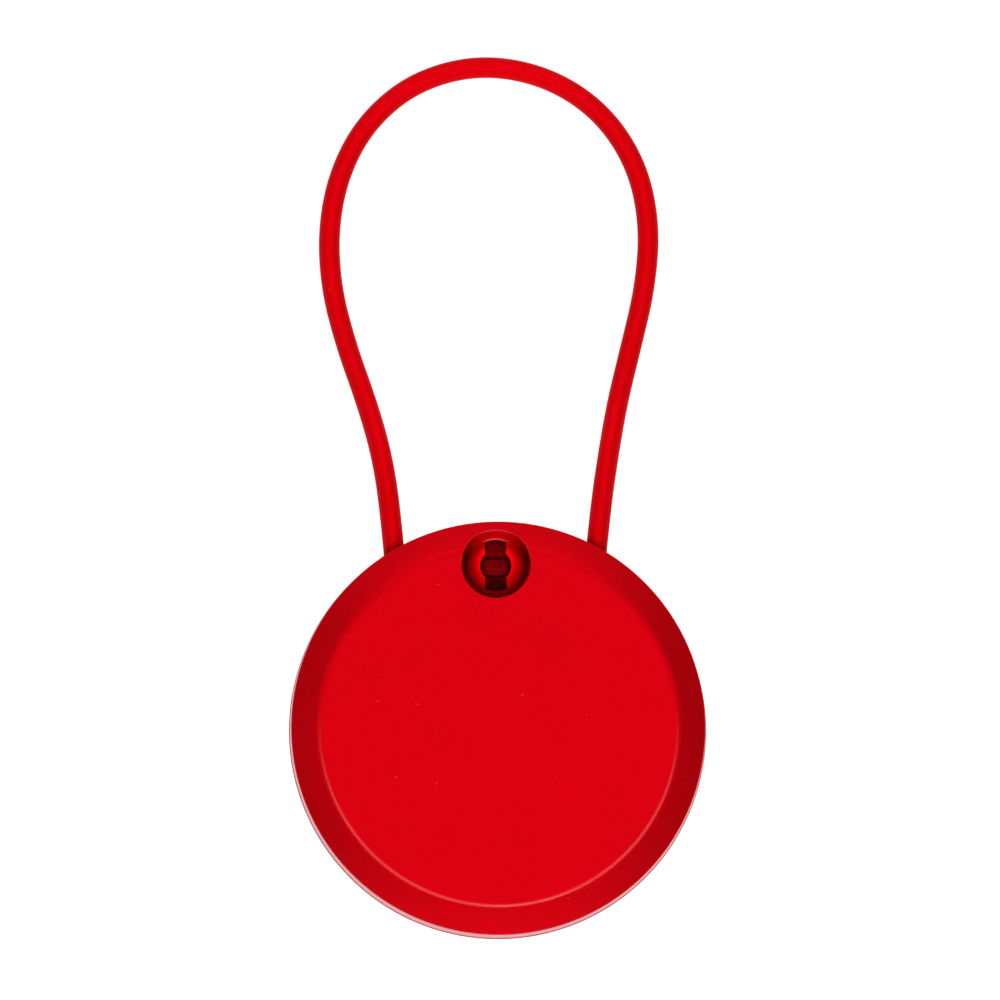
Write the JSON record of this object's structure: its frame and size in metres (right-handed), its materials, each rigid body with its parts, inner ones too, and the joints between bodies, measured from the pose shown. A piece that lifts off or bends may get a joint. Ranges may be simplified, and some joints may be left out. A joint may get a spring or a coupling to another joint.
{
  "type": "clicker trainer",
  "caption": "Round bevelled clicker trainer lying on its back, with a thumb button in its rear face and a sheathed cord loop held by a keyed turn-lock.",
  "frame": {"origin": "centre of the case's foot ring, on the plane it rests on", "axes": "+Z out of the plain front face, +Y from the case towards the cord loop"},
  "size_m": [0.05, 0.1071, 0.012],
  "materials": {
    "red_case": "fine satin texture",
    "red_button": "satin",
    "red_rotor": "satin",
    "red_sheath": "smooth extruded sheath",
    "zinc_steel": "zinc plated",
    "spring_steel": "rolled",
    "bright_steel": "fine ground",
    "cast_zinc": "die cast",
    "brass_ferrule": "turned"
  },
  "bodies": {
    "case": {"front_shell": "red_case", "rear_shell": "red_case", "case_screws": "zinc_steel", "click_leaf": "spring_steel", "leaf_clamp": "bright_steel", "leaf_screws": "zinc_steel", "bolt_spring": "spring_steel", "lock_case": "cast_zinc", "lock_cover": "bright_steel", "lock_screws": "zinc_steel", "plug_sleeve": "bright_steel", "release_plug": "bright_steel", "fixed_ferrule": "brass_ferrule", "wire_ends": "bright_steel", "cord_clamp": "red_case", "clamp_screw": "zinc_steel", "loop_cord": "red_sheath"},
    "button": {"click_button": "red_button"},
    "rotor": {"lock_rotor": "red_rotor", "rotor_clip": "spring_steel"},
    "bolt": {"lock_bolt": "bright_steel"}
  },
  "joints": [
    {"name": "button_press", "type": "slide", "parent": "case", "child": "button", "axis": [0, 0, 1], "range_m": [0, 0.0014], "stiffness_N_per_m": 600, "springref_m": -0.0005, "deforming": ["click_leaf"]},
    {"name": "lock_turn", "type": "hinge", "parent": "case", "child": "rotor", "pos_m": [0, 0.0195, 0.0049], "axis": [0, 0, -1], "range_deg": [0, 90]},
    {"name": "bolt_slide", "type": "slide", "parent": "case", "child": "bolt", "axis": [-1, 0, 0], "range_m": [0, 0.00156], "deforming": ["bolt_spring"]}
  ],
  "couplings": [
    {"joint": "lock_turn", "follows": "bolt_slide", "rad_per_m": 1009.8}
  ]
}
